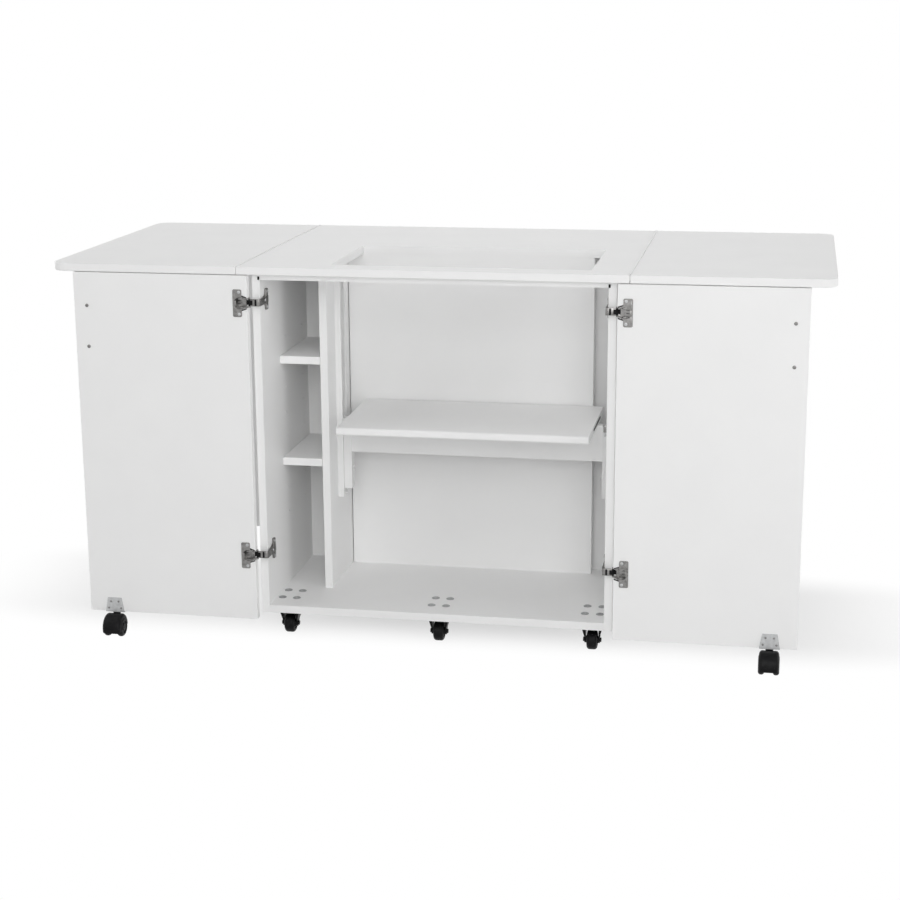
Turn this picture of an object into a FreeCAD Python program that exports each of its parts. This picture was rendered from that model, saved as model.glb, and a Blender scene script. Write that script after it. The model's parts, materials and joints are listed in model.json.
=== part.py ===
import FreeCAD, Part
import os
import re
import Sketcher

# A sewing cabinet on casters. Its worktop is a fixed centre with a leaf hinged on each side, doors at the
# front and the rear swing out to carry the leaves, and a lift platform slides up to the worktop's opening.
# X runs along the worktop, Y to the rear and Z up. The origin is on the floor under the middle.

SIZES = {
    # worktop
    "leaf_reach": 380.5,
    "fold_clearance": 1.0,
    "top_depth": 653,
    "top_height": 768,
    "board": 16,
    "corner_radius": 30,
    "edge_round": 1.5,
    "opening_width": 508,
    "opening_front": 275,
    "opening_depth": 275,
    # hinge between the centre and a leaf
    "fold_rise": 0.4,
    "fold_knuckle": 1.4,
    "fold_pin": 0.7,
    "fold_plate": 0.6,
    "fold_plate_drop": 12,
    "fold_slack": 0.15,
    "fold_margin": 3,
    "knuckle_room": 0.3,
    "knuckle_end_gap": 0.3,
    "run_clearance": 0.05,
    # carcass
    "carcass_width": 712,
    "carcass_depth": 615,
    "caster_height": 59,
    "partition_front": 36,
    "bay_edge": 240,
    "divider_front": 180,
    "lift_board_front": 3,
    "lift_board_end": 280,
    "lift_board_gap": 1.5,
    "rail_drop": 12,
    "board_ease": 0.8,
    # shelves
    "lower_shelf_top": 352,
    "shelf_clearance": 0.5,
    "pin_pitch": 53.25,
    "pin_radius": 2.5,
    "pin_proud": 8,
    "pin_seat": 9,
    "pin_front": 140,
    "pin_back": 9,
    # lift
    "platform_top": 442,
    "platform_clearance": 2,
    "platform_front_clearance": 2,
    "nosing_round": 5,
    "apron_drop": 76,
    "guide_middle": 95,
    "guide_width": 40,
    "guide_depth": 12,
    "guide_wall": 2,
    "guide_lip": 6,
    "guide_bottom": 255,
    "guide_head_gap": 2,
    "slide_clearance": 0.3,
    "post_width": 16,
    "post_bottom": 272,
    "post_head_gap": 4,
    "post_depth": 24,
    "lever_drop": 26,
    "lever_length": 22,
    "lever_width": 7,
    "lever_thick": 4,
    "lever_boss": 5.5,
    "lever_stud": 2.5,
    # doors
    "door_width": 355,
    "door_bottom": 51,
    "door_head_gap": 1,
    "closed_gap": 3,
    "pivot_out": 2,
    "pivot_edge": 1.5,
    "pivot_depth": 9.75,
    "lower_hinge_rise": 134,
    "upper_hinge_drop": 54,
    "cup_inset": 15,
    "cup_radius": 12.5,
    "cup_wall": 1,
    "cup_floor": 0.6,
    "cup_depth": 12.6,
    "wing_width": 18,
    "wing_height": 54,
    "wing_shift": 5,
    "wing_thick": 1.2,
    "wing_corner": 3,
    "arm_width": 14,
    "arm_thick": 4,
    "arm_leg": 3,
    "arm_stand": 1.5,
    "arm_setback": 37,
    "mount_length": 13,
    "mount_height": 42,
    "mount_thick": 4,
    "ear_thick": 2.4,
    "ear_gap": 0.4,
    "pivot_pin": 1,
    # handles
    "handle_inset": 26,
    "handle_drop": 66,
    "handle_spacing": 82,
    "handle_reach": 28,
    "handle_rod": 4.5,
    # door casters
    "door_caster_inset": 52,
    "bracket_thick": 1.5,
    "bracket_top": 80,
    "bracket_narrow": 29,
    "bracket_wide": 40,
    "web_reach": 10,
    "twin_radius": 20,
    "twin_width": 12.4,
    "twin_web": 14.8,
    "twin_gap": 0.6,
    "twin_trail": 14,
    "twin_axle": 3,
    "hood_radius": 27,
    "hood_wall": 5,
    "hood_width": 39,
    "hood_round": 4.5,
    "hood_foot": 10,
    "stem_boss": 7.5,
    "stem_pin": 3.5,
    "stem_gap": 0.5,
    "stem_seat": 40,
    # carcass casters
    "caster_spacing": 312,
    "caster_inset": 233,
    "plate_length": 62,
    "plate_width": 46,
    "plate_thick": 2,
    "bolt_along": 46,
    "bolt_across": 30,
    "bolt_radius": 3,
    "bolt_head": 8,
    "bolt_head_height": 2.2,
    "nut_radius": 5,
    "nut_height": 1.8,
    "race_radius": 14,
    "race_height": 2,
    "kingpin": 4,
    "kingpin_head": 6.5,
    "kingpin_head_height": 2,
    "crown_height": 10.5,
    "crown_half": 20,
    "crown_reach": 15,
    "leg_back": 8,
    "leg_front": 30,
    "swivel_gap": 0.3,
    "wheel_radius": 20,
    "wheel_width": 21,
    "wheel_hub": 7,
    "wheel_dish": 2,
    "wheel_rim": 6.5,
    "twin_tread_round": 5.5,
    "tread_round": 6,
    "wheel_trail": 18,
    "hub_proud": 2.2,
    "fork_gap": 0.6,
    "fork_wall": 2,
    "fork_boss": 7,
    "axle_radius": 3,
    "axle_head": 4.5,
    "axle_proud": 3,
}
FOLD_KNUCKLES = 15
PIN_HOLES = 8
HOLES_BELOW_LOWER_SHELF = 2
HOLES_BETWEEN_SHELVES = 4
SIDES = (("left", -1), ("right", 1))
ENDS = (("front", -1), ("rear", 1))

doc = FreeCAD.newDocument("sewing_cabinet")
sheet = doc.addObject("Spreadsheet::Sheet", "sizes")
for row, (alias, value) in enumerate(SIZES.items(), start=1):
    sheet.set(f"A{row}", alias)
    sheet.set(f"B{row}", str(value))
    sheet.setAlias(f"B{row}", alias)
doc.recompute()

# Places that several pieces share, worked out from the sheet's sizes
FOLD_X = "(leaf_reach + fold_clearance)"
FOLD_Z = "(top_height + fold_rise)"
SEAM_X = f"({FOLD_X} - fold_slack - fold_plate)"
UNDER_TOP = "(top_height - board)"
SIDE_OUT = "(carcass_width / 2)"
SIDE_IN = f"({SIDE_OUT} - board)"
CARCASS_Y = "(carcass_depth / 2)"
FLOOR_Z = "(caster_height + board)"
BAY_X = f"(({SIDE_IN} - bay_edge) / 2)"
PLATFORM_UNDER = "(platform_top - board)"
PIVOT_X = f"({SIDE_OUT} + pivot_out)"
PIVOT_Y = f"({CARCASS_Y} + closed_gap + pivot_depth)"
DOOR_NEAR = f"({PIVOT_X} + pivot_edge)"
DOOR_FAR = f"({DOOR_NEAR} + door_width)"
DOOR_FACE = f"({PIVOT_Y} + pivot_depth)"
DOOR_BACK = f"({DOOR_FACE} - board)"
DOOR_TOP = f"({UNDER_TOP} - door_head_gap)"
DOOR_MIDDLE = f"({DOOR_FACE} - board / 2)"
CUP_X = f"({DOOR_NEAR} + cup_inset)"
HANDLE_X = f"({DOOR_FAR} - handle_inset)"
DOOR_CASTER_X = f"({DOOR_FAR} - door_caster_inset)"
ALIAS = re.compile(r"[a-z_]+")
nodes = []


def bind(item, path, text):
    """Bind a property to a sum of the sheet's aliases."""
    item.setExpression(path, ALIAS.sub(lambda found: "sizes." + found.group(0), text))


def number(text):
    """Value of a sum of the sheet's aliases, read back from the sheet."""
    probe = doc.addObject("App::FeaturePython", "probe")
    probe.addProperty("App::PropertyFloat", "Value")
    bind(probe, "Value", text)
    probe.recompute()
    value = probe.Value
    doc.removeObject(probe.Name)
    return value


def span(sign, near, far):
    """Low and high ends of a stretch that lies on one side of the middle."""
    if sign > 0:
        return near, far
    return f"-({far})", f"-({near})"


def around(middle, width):
    """Low and high ends of a stretch with its middle given."""
    return f"({middle}) - ({width}) / 2", f"({middle}) + ({width}) / 2"


def place(item, x, y, z):
    """Bind where an object's own origin lies."""
    for axis, text in zip("xyz", (x, y, z)):
        bind(item, f".Placement.Base.{axis}", text)
    return item


def block(x, y, z):
    """Box between three pairs of low and high ends."""
    item = doc.addObject("Part::Box", "block")
    place(item, x[0], y[0], z[0])
    for size, (low, high) in zip(("Length", "Width", "Height"), (x, y, z)):
        bind(item, size, f"({high}) - ({low})")
    return item


TURNS = {
    "x": FreeCAD.Rotation(FreeCAD.Vector(0, 1, 0), 90),
    "y": FreeCAD.Rotation(FreeCAD.Vector(1, 0, 0), -90),
    "z": FreeCAD.Rotation(),
}


def rod(axis, middle, radius, along):
    """Cylinder along an axis. Middle gives its three coordinates, the one along the axis unused."""
    item = doc.addObject("Part::Cylinder", "rod")
    item.Placement = FreeCAD.Placement(FreeCAD.Vector(), TURNS[axis])
    texts = dict(zip("xyz", middle))
    texts[axis] = along[0]
    place(item, texts["x"], texts["y"], texts["z"])
    bind(item, "Radius", radius)
    bind(item, "Height", f"({along[1]}) - ({along[0]})")
    return item


def fuse(*items):
    """One solid from several that overlap or touch."""
    item = doc.addObject("Part::MultiFuse", "fuse")
    item.Shapes = list(items)
    return item


def cut(base, *tools):
    """Base with the tools taken away."""
    item = doc.addObject("Part::Cut", "cut")
    item.Base = base
    item.Tool = tools[0] if len(tools) == 1 else fuse(*tools)
    return item


def group(*items):
    """Separate solids that share a node."""
    item = doc.addObject("Part::Compound", "group")
    item.Links = list(items)
    return item


def node(label, item):
    """Name a finished sub-part."""
    item.Label = label
    nodes.append(item)
    return item


def plane(body, role):
    """Origin plane of a body."""
    return next(item for item in body.Origin.OriginFeatures if item.Role == role)


def sketch(body, role, lift="0 * board"):
    """Empty sketch on a plane of its body, moved along the plane's normal."""
    item = body.newObject("Sketcher::SketchObject", "sketch")
    item.AttachmentSupport = [(plane(body, role), "")]
    item.MapMode = "FlatFace"
    bind(item, ".AttachmentOffset.Base.z", lift)
    return item


def outline(item, points):
    """Closed run of straight lines through points, each given as a pair of texts."""
    corners = [FreeCAD.Vector(number(x), number(y), 0) for x, y in points]
    first = item.GeometryCount
    count = len(points)
    for index, corner in enumerate(corners):
        item.addGeometry(Part.LineSegment(corner, corners[(index + 1) % count]), False)
    for index, (x, y) in enumerate(points):
        line = first + index
        item.addConstraint(Sketcher.Constraint("Coincident", line, 2, first + (index + 1) % count, 1))
        pin_point(item, line, 1, x, y)
    return item


def pin_point(item, line, end, x, y):
    """Tie a sketch point to its two coordinates."""
    for kind, text in (("DistanceX", x), ("DistanceY", y)):
        tie = item.addConstraint(Sketcher.Constraint(kind, -1, 1, line, end, number(text)))
        bind(item, f"Constraints[{tie}]", text)


def circle(item, x, y, radius):
    """Circle with its middle and radius tied to the sheet."""
    middle = FreeCAD.Vector(number(x), number(y), 0)
    line = item.addGeometry(Part.Circle(middle, FreeCAD.Vector(0, 0, 1), number(radius)), False)
    pin_point(item, line, 3, x, y)
    tie = item.addConstraint(Sketcher.Constraint("Radius", line, number(radius)))
    bind(item, f"Constraints[{tie}]", radius)
    return item


def rectangle(item, x, y):
    """Rectangle between two pairs of low and high ends."""
    return outline(item, ((x[0], y[0]), (x[1], y[0]), (x[1], y[1]), (x[0], y[1])))


def pad(body, profile, length):
    """Material added on a sketch."""
    item = body.newObject("PartDesign::Pad", "pad")
    item.Profile = profile
    bind(item, "Length", length)
    return item


def pocket(body, profile, length, flip=False):
    """Material taken away behind a sketch, or in front of it if flipped."""
    item = body.newObject("PartDesign::Pocket", "pocket")
    item.Profile = profile
    item.Reversed = flip
    bind(item, "Length", length)
    return item


def round_edges(body, radius, chosen):
    """Fillet the edges of the body's last feature that a test chooses by their middle and direction."""
    doc.recompute()
    base = body.Tip
    names = []
    for index, edge in enumerate(base.Shape.Edges, start=1):
        middle = edge.valueAt((edge.FirstParameter + edge.LastParameter) / 2)
        if chosen(edge, middle):
            names.append(f"Edge{index}")
    item = body.newObject("PartDesign::Fillet", "fillet")
    item.Base = (base, names)
    bind(item, "Radius", radius)
    return item


def is_upright(edge):
    """True for a vertical straight edge."""
    box = edge.BoundBox
    return box.ZLength > box.XLength + box.YLength


def runs_along(axis):
    """Test for a straight edge along an axis."""
    def chosen(edge):
        return getattr(edge.BoundBox, f"{axis}Length") > 0.99 * edge.Length

    return chosen


def eased(base, radius, chosen):
    """Plain solid with the edges that a test chooses made round."""
    base.recompute()
    item = doc.addObject("Part::Fillet", "eased")
    item.Base = base
    size = number(radius)
    edges = enumerate(base.Shape.Edges, start=1)
    item.Edges = [(index, size, size) for index, edge in edges if chosen(edge)]
    return item


RELIEF_WIDTH = "(fold_knuckle + knuckle_room - fold_slack - fold_plate)"
RELIEF_DEPTH = "(fold_knuckle + knuckle_room - fold_rise)"
LEAF_WIDTH = "(leaf_reach - fold_slack - fold_plate)"
TOP_Y = ("0 * board", "top_depth")


def round_rim(body, seams):
    """Soften the long edges of a worktop board, apart from those along its seams."""
    limit = number(f"{RELIEF_WIDTH} + board / 8")

    def chosen(edge, middle):
        level = edge.BoundBox.ZLength < edge.Length / 100
        at_face = min(abs(middle.z - shift) for shift in (0, number("board"))) < number("run_clearance")
        at_rim = min(middle.y, number("top_depth") - middle.y) < number("corner_radius")
        at_end = all(abs(middle.x - number(seam)) > limit for seam in seams)
        return level and at_face and at_end and (at_rim or len(seams) == 1)

    round_edges(body, "edge_round", chosen)


def center_top():
    """Fixed middle of the worktop, with the lift's opening and a rabbet along both seams."""
    body = doc.addObject("PartDesign::Body", "center_top")
    width = f"(2 * {SEAM_X})"
    pad(body, rectangle(sketch(body, "XY_Plane"), ("0 * board", width), TOP_Y), "board")
    middle_x = f"{SEAM_X} + {BAY_X}"
    front = "top_depth / 2 - opening_front"
    hole = rectangle(sketch(body, "XY_Plane", "board"), around(middle_x, "opening_width"),
                     (front, f"{front} + opening_depth"))
    pocket(body, hole, "board")
    for low, high in (("0 * board", RELIEF_WIDTH), (f"{width} - {RELIEF_WIDTH}", width)):
        pocket(body, rectangle(sketch(body, "XY_Plane", "board"), (low, high), TOP_Y), RELIEF_DEPTH)
    round_rim(body, ("0 * board", width))
    node("center_top", place(body, f"-{SEAM_X}", "-top_depth / 2", UNDER_TOP))


def leaf(side, sign):
    """Folding end of the worktop, round at its outer corners."""
    body = doc.addObject("PartDesign::Body", f"{side}_leaf")
    pad(body, rectangle(sketch(body, "XY_Plane"), ("0 * board", LEAF_WIDTH), TOP_Y), "board")
    seam, outer = ("0 * board", LEAF_WIDTH) if sign > 0 else (LEAF_WIDTH, "0 * board")
    relief = ("0 * board", RELIEF_WIDTH) if sign > 0 else (f"{LEAF_WIDTH} - {RELIEF_WIDTH}", LEAF_WIDTH)
    pocket(body, rectangle(sketch(body, "XY_Plane", "board"), relief, TOP_Y), RELIEF_DEPTH)
    outer_x = number(outer)
    near = number("board_ease")
    round_edges(body, "corner_radius",
                lambda edge, middle: is_upright(edge) and abs(middle.x - outer_x) < near)
    round_rim(body, (seam,))
    low = f"{FOLD_X} + fold_slack + fold_plate" if sign > 0 else f"-({FOLD_X} + leaf_reach)"
    node(f"{side}_leaf", place(body, low, "-top_depth / 2", UNDER_TOP))


def fold_hinge_half(sign, reach, knuckles, bore):
    """Plate on a seam's edge with every second knuckle. Reach is -1 for the centre's half, 1 for a leaf's."""
    pitch = f"((top_depth - 2 * fold_margin) / {FOLD_KNUCKLES})"
    start = "(fold_margin - top_depth / 2)"
    inner, outer = span(reach, "fold_slack", "fold_slack + fold_plate")
    x = span(sign, f"{FOLD_X} + {inner}", f"{FOLD_X} + {outer}")
    plate_top = f"top_height - {RELIEF_DEPTH}"
    pieces = [block(x, (start, f"-{start}"), ("top_height - fold_plate_drop", plate_top))]
    for index in knuckles:
        y = (f"{start} + {index} * {pitch} + knuckle_end_gap / 2",
             f"{start} + {index + 1} * {pitch} - knuckle_end_gap / 2")
        pieces.append(block(x, y, (f"{plate_top} - fold_plate", FOLD_Z)))
        pieces.append(rod("y", (f"{sign} * {FOLD_X}", "", FOLD_Z), "fold_knuckle", y))
    hole = rod("y", (f"{sign} * {FOLD_X}", "", FOLD_Z), bore, (start, f"-{start}"))
    return cut(fuse(*pieces), hole)


def fold_hinges():
    """Long hinges of the two leaves. The centre's halves hold the pins."""
    fixed = []
    for side, sign in SIDES:
        fixed.append(fold_hinge_half(sign, -1, range(0, FOLD_KNUCKLES, 2), "fold_pin"))
        fixed.append(rod("y", (f"{sign} * {FOLD_X}", "", FOLD_Z), "fold_pin",
                         ("fold_margin - top_depth / 2", "top_depth / 2 - fold_margin")))
        moving = fold_hinge_half(sign, 1, range(1, FOLD_KNUCKLES, 2), "fold_pin + run_clearance")
        node(f"{side}_leaf_hinge", group(moving))
    node("center_leaf_hinges", group(*fixed))


FIRST_PIN = f"(lower_shelf_top - board - pin_radius - {HOLES_BELOW_LOWER_SHELF} * pin_pitch)"
SHELF_RISE = f"({HOLES_BETWEEN_SHELVES} * pin_pitch)"
SHELF_BAY = (f"-{SIDE_IN}", "-(bay_edge + board)")


def drilled_panel(label, x, y, z, face_high):
    """Upright board with two columns of shelf-pin holes in one face."""
    body = doc.addObject("PartDesign::Body", label)
    depth = f"({y[1]}) - ({y[0]})"
    height = f"({z[1]}) - ({z[0]})"
    pad(body, rectangle(sketch(body, "YZ_Plane"), ("0 * board", depth), ("0 * board", height)), "board")
    holes = sketch(body, "YZ_Plane", "board" if face_high else "0 * board")
    for column in ("-pin_front", "-pin_back"):
        circle(holes, f"({column}) - ({y[0]})", f"{FIRST_PIN} - ({z[0]})", "pin_radius")
    first = pocket(body, holes, "pin_seat", flip=not face_high)
    rows = body.newObject("PartDesign::LinearPattern", "rows")
    rows.Originals = [first]
    rows.Direction = (holes, ["V_Axis"])
    bind(rows, "Length", f"{PIN_HOLES - 1} * pin_pitch")
    rows.Occurrences = PIN_HOLES
    body.Tip = rows
    ends = (0, number(depth))
    near = number("board_ease")
    round_edges(body, "board_ease",
                lambda edge, middle: is_upright(edge) and min(abs(middle.y - end) for end in ends) < near)
    node(label, place(body, x[0], y[0], z[0]))


def carcass():
    """Fixed boards under the worktop."""
    across = (f"-{SIDE_IN}", SIDE_IN)
    depth = (f"-{CARCASS_Y}", CARCASS_Y)
    height = ("caster_height", UNDER_TOP)
    inside = (FLOOR_Z, UNDER_TOP)
    drilled_panel("left_side_panel", (f"-{SIDE_OUT}", f"-{SIDE_IN}"), depth, height, True)
    drilled_panel("divider_panel", ("-(bay_edge + board)", "-bay_edge"),
                  ("-divider_front", "partition_front"), inside, False)
    node("right_side_panel", eased(block((SIDE_IN, SIDE_OUT), depth, height), "board_ease", is_upright))
    holes = [rod("z", (x, y, ""), "bolt_radius", ("caster_height", FLOOR_Z)) for x, y in bolt_places()]
    floor = eased(block(across, depth, ("caster_height", FLOOR_Z)), "board_ease", runs_along("X"))
    node("bottom_panel", cut(floor, *holes))
    node("partition_panel", block(across, ("partition_front", "partition_front + board"), inside))
    lift_board = block(("-bay_edge + lift_board_gap", "lift_board_end"),
                       ("lift_board_front", "lift_board_front + board"), inside)
    node("lift_back_board", eased(lift_board, "board_ease", is_upright))
    rails = [block(across, span(sign, f"{CARCASS_Y} - board", CARCASS_Y),
                   (f"{UNDER_TOP} - rail_drop", UNDER_TOP)) for end, sign in ENDS]
    node("top_rails", group(*rails))


def shelves():
    """Two adjustable shelves in the narrow bay, each on four pins."""
    pins = []
    x = (f"{SHELF_BAY[0]} + shelf_clearance", f"{SHELF_BAY[1]} - shelf_clearance")
    y = ("-divider_front", "partition_front - shelf_clearance")
    for label, rise in (("lower_shelf", "0 * board"), ("upper_shelf", SHELF_RISE)):
        top = f"lower_shelf_top + {rise}"
        node(label, eased(block(x, y, (f"{top} - board", top)), "board_ease", runs_along("X")))
        pin_z = f"{top} - board - pin_radius"
        for column in ("-pin_front", "-pin_back"):
            for along in ((f"{SHELF_BAY[0]} - pin_seat", f"{SHELF_BAY[0]} + pin_proud"),
                          (f"{SHELF_BAY[1]} - pin_proud", f"{SHELF_BAY[1]} + pin_seat")):
                pins.append(rod("x", ("", column, pin_z), "pin_radius", along))
    node("shelf_pins", group(*pins))


GUIDES = (("-bay_edge", 1), (SIDE_IN, -1))
GUIDE_Y = "(-guide_middle)"
POST_TOP = f"({PLATFORM_UNDER} - post_head_gap)"


def off_wall(guide, near, far):
    """Stretch of X that stands off a guide's wall."""
    wall, sign = guide
    low, high = span(sign, near, far)
    return f"{wall} + ({low})", f"{wall} + ({high})"


def lift():
    """Lift platform, its apron and the posts that slide in two upright guides."""
    rails = []
    posts = []
    z = ("post_bottom", POST_TOP)
    for guide in GUIDES:
        rise = ("guide_bottom", f"{UNDER_TOP} - guide_head_gap")
        outer = block(off_wall(guide, "0 * board", "guide_depth"), around(GUIDE_Y, "guide_width"), rise)
        cavity = block(off_wall(guide, "guide_wall", "guide_depth - guide_wall"),
                       around(GUIDE_Y, "guide_width - 2 * guide_wall"), rise)
        mouth = block(off_wall(guide, "guide_wall", "guide_depth"),
                      around(GUIDE_Y, "guide_width - 2 * guide_lip"), rise)
        rails.append(cut(outer, cavity, mouth))
        lip_face = "guide_depth - guide_wall - slide_clearance"
        head = block(off_wall(guide, "guide_wall + slide_clearance", lip_face),
                     around(GUIDE_Y, "guide_width - 2 * guide_wall - 2 * slide_clearance"), z)
        stem = block(off_wall(guide, lip_face, "guide_depth + slide_clearance"),
                     around(GUIDE_Y, "guide_width - 2 * guide_lip - 2 * slide_clearance"), z)
        post = block(off_wall(guide, "guide_depth + slide_clearance", "guide_depth + post_width"),
                     around(GUIDE_Y, "post_depth"), z)
        posts.append(fuse(head, stem, post))
    node("lift_guides", group(*rails))

    front = f"{GUIDE_Y} - post_depth / 2"
    pivot = (f"{SIDE_IN} - guide_depth - post_width / 2", "", f"{PLATFORM_UNDER} - lever_drop")
    lever_back = f"{front} - slide_clearance"
    lever_front = f"{lever_back} - lever_thick"
    stud = rod("y", pivot, "lever_stud", (f"{lever_front} - slide_clearance", front))
    stud_head = rod("y", pivot, "lever_boss", (f"{lever_front} - slide_clearance - guide_wall",
                                               f"{lever_front} - slide_clearance"))
    posts[1] = fuse(posts[1], stud, stud_head)
    node("lift_posts", group(*posts))
    boss = rod("y", pivot, "lever_boss", (lever_front, lever_back))
    arm = block(around(pivot[0], "lever_width"), (lever_front, lever_back),
                (pivot[2], f"{pivot[2]} + lever_length"))
    bore = rod("y", pivot, "lever_stud + run_clearance", (lever_front, lever_back))
    node("latch_lever", cut(fuse(boss, arm), bore))

    apron_x = (off_wall(GUIDES[0], "guide_depth", "guide_depth + post_width")[1],
               off_wall(GUIDES[1], "guide_depth", "guide_depth + post_width")[0])
    apron = block(apron_x, around(GUIDE_Y, "board"), (f"{PLATFORM_UNDER} - apron_drop", PLATFORM_UNDER))
    node("lift_apron", eased(apron, "board_ease", runs_along("X")))
    body = doc.addObject("PartDesign::Body", "lift_platform")
    width = "(opening_width - 2 * platform_clearance)"
    depth = "(opening_depth - platform_front_clearance - platform_clearance)"
    pad(body, rectangle(sketch(body, "XY_Plane"), ("0 * board", width), ("0 * board", depth)), "board")
    near = number("board_ease")
    round_edges(body, "nosing_round", lambda edge, middle: not is_upright(edge) and middle.y < near)
    node("lift_platform", place(body, f"{BAY_X} - {width} / 2", "platform_front_clearance - opening_front",
                                PLATFORM_UNDER))


HINGE_LEVELS = ("(door_bottom + lower_hinge_rise)", f"({DOOR_TOP} - upper_hinge_drop)")
EAR_OUT = "(arm_width / 2 + ear_gap + ear_thick)"
CUP_BED = f"({DOOR_FACE} - cup_depth)"
LEG_X = f"({SIDE_IN} - arm_stand - arm_leg)"


def hinge_arm(sign, end, level):
    """Arm of a door hinge, from its plate on a side panel round the panel's edge to the pivot."""
    z = around(level, "arm_width")
    pivot = (f"{sign} * {PIVOT_X}", f"{end} * {PIVOT_Y}", "")
    mount_y = f"{CARCASS_Y} - arm_setback"
    mount_back = f"{mount_y} - mount_length / 2"
    neck_front = f"{PIVOT_Y} + arm_thick / 2"
    neck = block(span(sign, LEG_X, PIVOT_X), span(end, f"{PIVOT_Y} - arm_thick / 2", neck_front), z)
    barrel = rod("z", pivot, "arm_thick / 2", z)
    leg = block(span(sign, LEG_X, f"{LEG_X} + arm_leg"), span(end, mount_back, neck_front), z)
    mount = block(span(sign, f"{SIDE_IN} - mount_thick", SIDE_IN),
                  span(end, mount_back, f"{mount_back} + mount_length"), around(level, "mount_height"))
    return cut(fuse(neck, barrel, leg, mount), rod("z", pivot, "pivot_pin + run_clearance", z))


def hinge_cup(sign, end, level):
    """Cup of a door hinge with its fixing wings and the two ears that hold the pivot pin."""
    middle = (f"{sign} * {CUP_X}", "", level)
    pivot = (f"{sign} * {PIVOT_X}", f"{end} * {PIVOT_Y}", "")
    wing_face = f"{DOOR_FACE} + wing_thick"
    hollow = span(end, f"{CUP_BED} + cup_floor", wing_face)
    shell = rod("y", middle, "cup_radius", span(end, CUP_BED, DOOR_FACE))
    rim = rod("y", middle, "cup_radius + cup_wall", span(end, DOOR_FACE, wing_face))
    wing_x = around(f"{sign} * ({CUP_X} + wing_shift)", "wing_width")
    wings = eased(block(wing_x, span(end, DOOR_FACE, wing_face), around(level, "wing_height")),
                  "wing_corner", runs_along("Y"))
    inside = rod("y", middle, "cup_radius - cup_wall", hollow)
    slot = block(span(sign, PIVOT_X, CUP_X), hollow, around(level, "arm_width + 2 * ear_gap"))
    cup = cut(fuse(shell, rim, wings), inside, slot)
    ears = []
    for up in (-1, 1):
        low, high = span(up, f"{EAR_OUT} - ear_thick", EAR_OUT)
        z = (f"{level} + ({low})", f"{level} + ({high})")
        ears.append(block(span(sign, PIVOT_X, f"{CUP_X} - cup_radius + 2 * ear_thick"),
                          span(end, f"{PIVOT_Y} - arm_thick / 2", f"{PIVOT_Y} + arm_thick / 2"), z))
        ears.append(rod("z", pivot, "arm_thick / 2", z))
    pin_z = around(level, f"2 * {EAR_OUT}")
    eyed = cut(fuse(cup, *ears), rod("z", pivot, "pivot_pin", pin_z))
    return [eyed, rod("z", pivot, "pivot_pin", pin_z)]


def door(label, sign, end):
    """Door that stands open under a leaf, its inner face outwards, with its hinge cups and handle."""
    panel = eased(block(span(sign, DOOR_NEAR, DOOR_FAR), span(end, DOOR_BACK, DOOR_FACE),
                        ("door_bottom", DOOR_TOP)), "board_ease", lambda edge: True)
    recesses = []
    cups = []
    for level in HINGE_LEVELS:
        bed = span(end, CUP_BED, DOOR_FACE)
        recesses.append(rod("y", (f"{sign} * {CUP_X}", "", level), "cup_radius", bed))
        recesses.append(block(span(sign, DOOR_NEAR, CUP_X), bed, around(level, f"2 * ({EAR_OUT} + ear_gap)")))
        cups += hinge_cup(sign, end, level)
    node(f"{label}_door", cut(panel, *recesses))
    node(f"{label}_hinge_cups", group(*cups))

    x = f"{sign} * {HANDLE_X}"
    bar_y = f"{end} * ({DOOR_BACK} - handle_reach)"
    handle_top = f"{DOOR_TOP} - handle_drop"
    ends_z = (f"{handle_top} - handle_spacing", handle_top)
    pieces = [rod("z", (x, bar_y, ""), "handle_rod", ends_z)]
    for z in ends_z:
        pieces.append(rod("y", (x, "", z), "handle_rod", span(end, f"{DOOR_BACK} - handle_reach", DOOR_BACK)))
        corner = place(doc.addObject("Part::Sphere", "corner"), x, bar_y, z)
        bind(corner, "Radius", "handle_rod")
        pieces.append(corner)
    node(f"{label}_handle", fuse(*pieces))


def wheel(x, y, z, width, radius, hub_half, bore, tread_round):
    """Wheel on an axle along X, dished between its hub and its rim, with a round tread."""
    body = doc.addObject("PartDesign::Body", "wheel")
    half = f"({width}) / 2"
    dish = f"({half} - wheel_dish)"
    rim = f"({radius} - wheel_rim)"
    right = [(hub_half, bore), (hub_half, "wheel_hub"), (dish, "wheel_hub + wheel_dish"),
             (dish, f"{rim} - wheel_dish"), (half, rim), (half, radius)]
    left = [(f"-{across}", out) for across, out in reversed(right)]
    turned = body.newObject("PartDesign::Revolution", "turned")
    turned.Profile = outline(sketch(body, "XY_Plane"), right + left)
    turned.ReferenceAxis = (turned.Profile[0], ["H_Axis"])
    turned.Angle = 360
    tread = number(radius)
    edge_x = number(half)
    near = number("run_clearance")

    def chosen(edge, middle):
        at_side = abs(abs(middle.x) - edge_x) < near
        at_tread = abs((middle.y ** 2 + middle.z ** 2) ** 0.5 - tread) < near
        return at_side and at_tread

    round_edges(body, tread_round, chosen)
    return place(body, x, y, z)


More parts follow.
